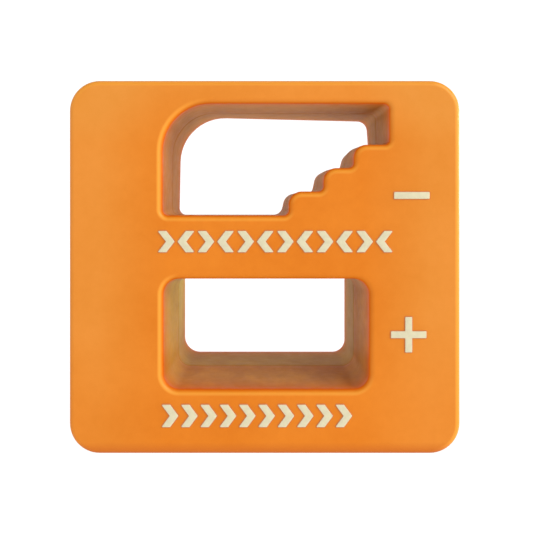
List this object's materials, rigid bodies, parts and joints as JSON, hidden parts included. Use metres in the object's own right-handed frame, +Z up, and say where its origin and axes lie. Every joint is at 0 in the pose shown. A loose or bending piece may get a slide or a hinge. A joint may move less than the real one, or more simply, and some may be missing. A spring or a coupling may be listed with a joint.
{
  "type": "demagnetizer",
  "caption": "Pocket plastic block that magnetizes tools in its lower window and demagnetizes them in its upper, stepped window, with hidden magnets and yoke plates.",
  "frame": {"origin": "bottom centre of the block, on the surface that it stands on", "axes": "+X to the right of the marked front face, +Y from the marked front face to the back, +Z up"},
  "size_m": [0.052, 0.028, 0.0496],
  "materials": {
    "orange_plastic": "moulded, satin, fine grain",
    "cream_foil": "stamped foil, slightly worn at the edges",
    "ferrite": "sintered and ground, dark grey",
    "yoke_steel": "cold-rolled mild steel, sheared edges"
  },
  "bodies": {
    "root": {"front_shell": "orange_plastic", "rear_shell": "orange_plastic", "magnetizer_magnet_left": "ferrite", "magnetizer_magnet_right": "ferrite", "demagnetizer_magnet_left": "ferrite", "demagnetizer_magnet_right": "ferrite", "left_yoke_plate": "yoke_steel", "right_yoke_plate": "yoke_steel", "minus_mark": "cream_foil", "plus_mark": "cream_foil", "upper_row_mark_01": "cream_foil", "upper_row_mark_02": "cream_foil", "upper_row_mark_03": "cream_foil", "upper_row_mark_04": "cream_foil", "upper_row_mark_05": "cream_foil", "upper_row_mark_06": "cream_foil", "upper_row_mark_07": "cream_foil", "upper_row_mark_08": "cream_foil", "upper_row_mark_09": "cream_foil", "upper_row_mark_10": "cream_foil", "upper_row_mark_11": "cream_foil", "upper_row_mark_12": "cream_foil", "lower_row_mark_01": "cream_foil", "lower_row_mark_02": "cream_foil", "lower_row_mark_03": "cream_foil", "lower_row_mark_04": "cream_foil", "lower_row_mark_05": "cream_foil", "lower_row_mark_06": "cream_foil", "lower_row_mark_07": "cream_foil", "lower_row_mark_08": "cream_foil", "lower_row_mark_09": "cream_foil", "lower_row_mark_10": "cream_foil"}
  },
  "joints": []
}
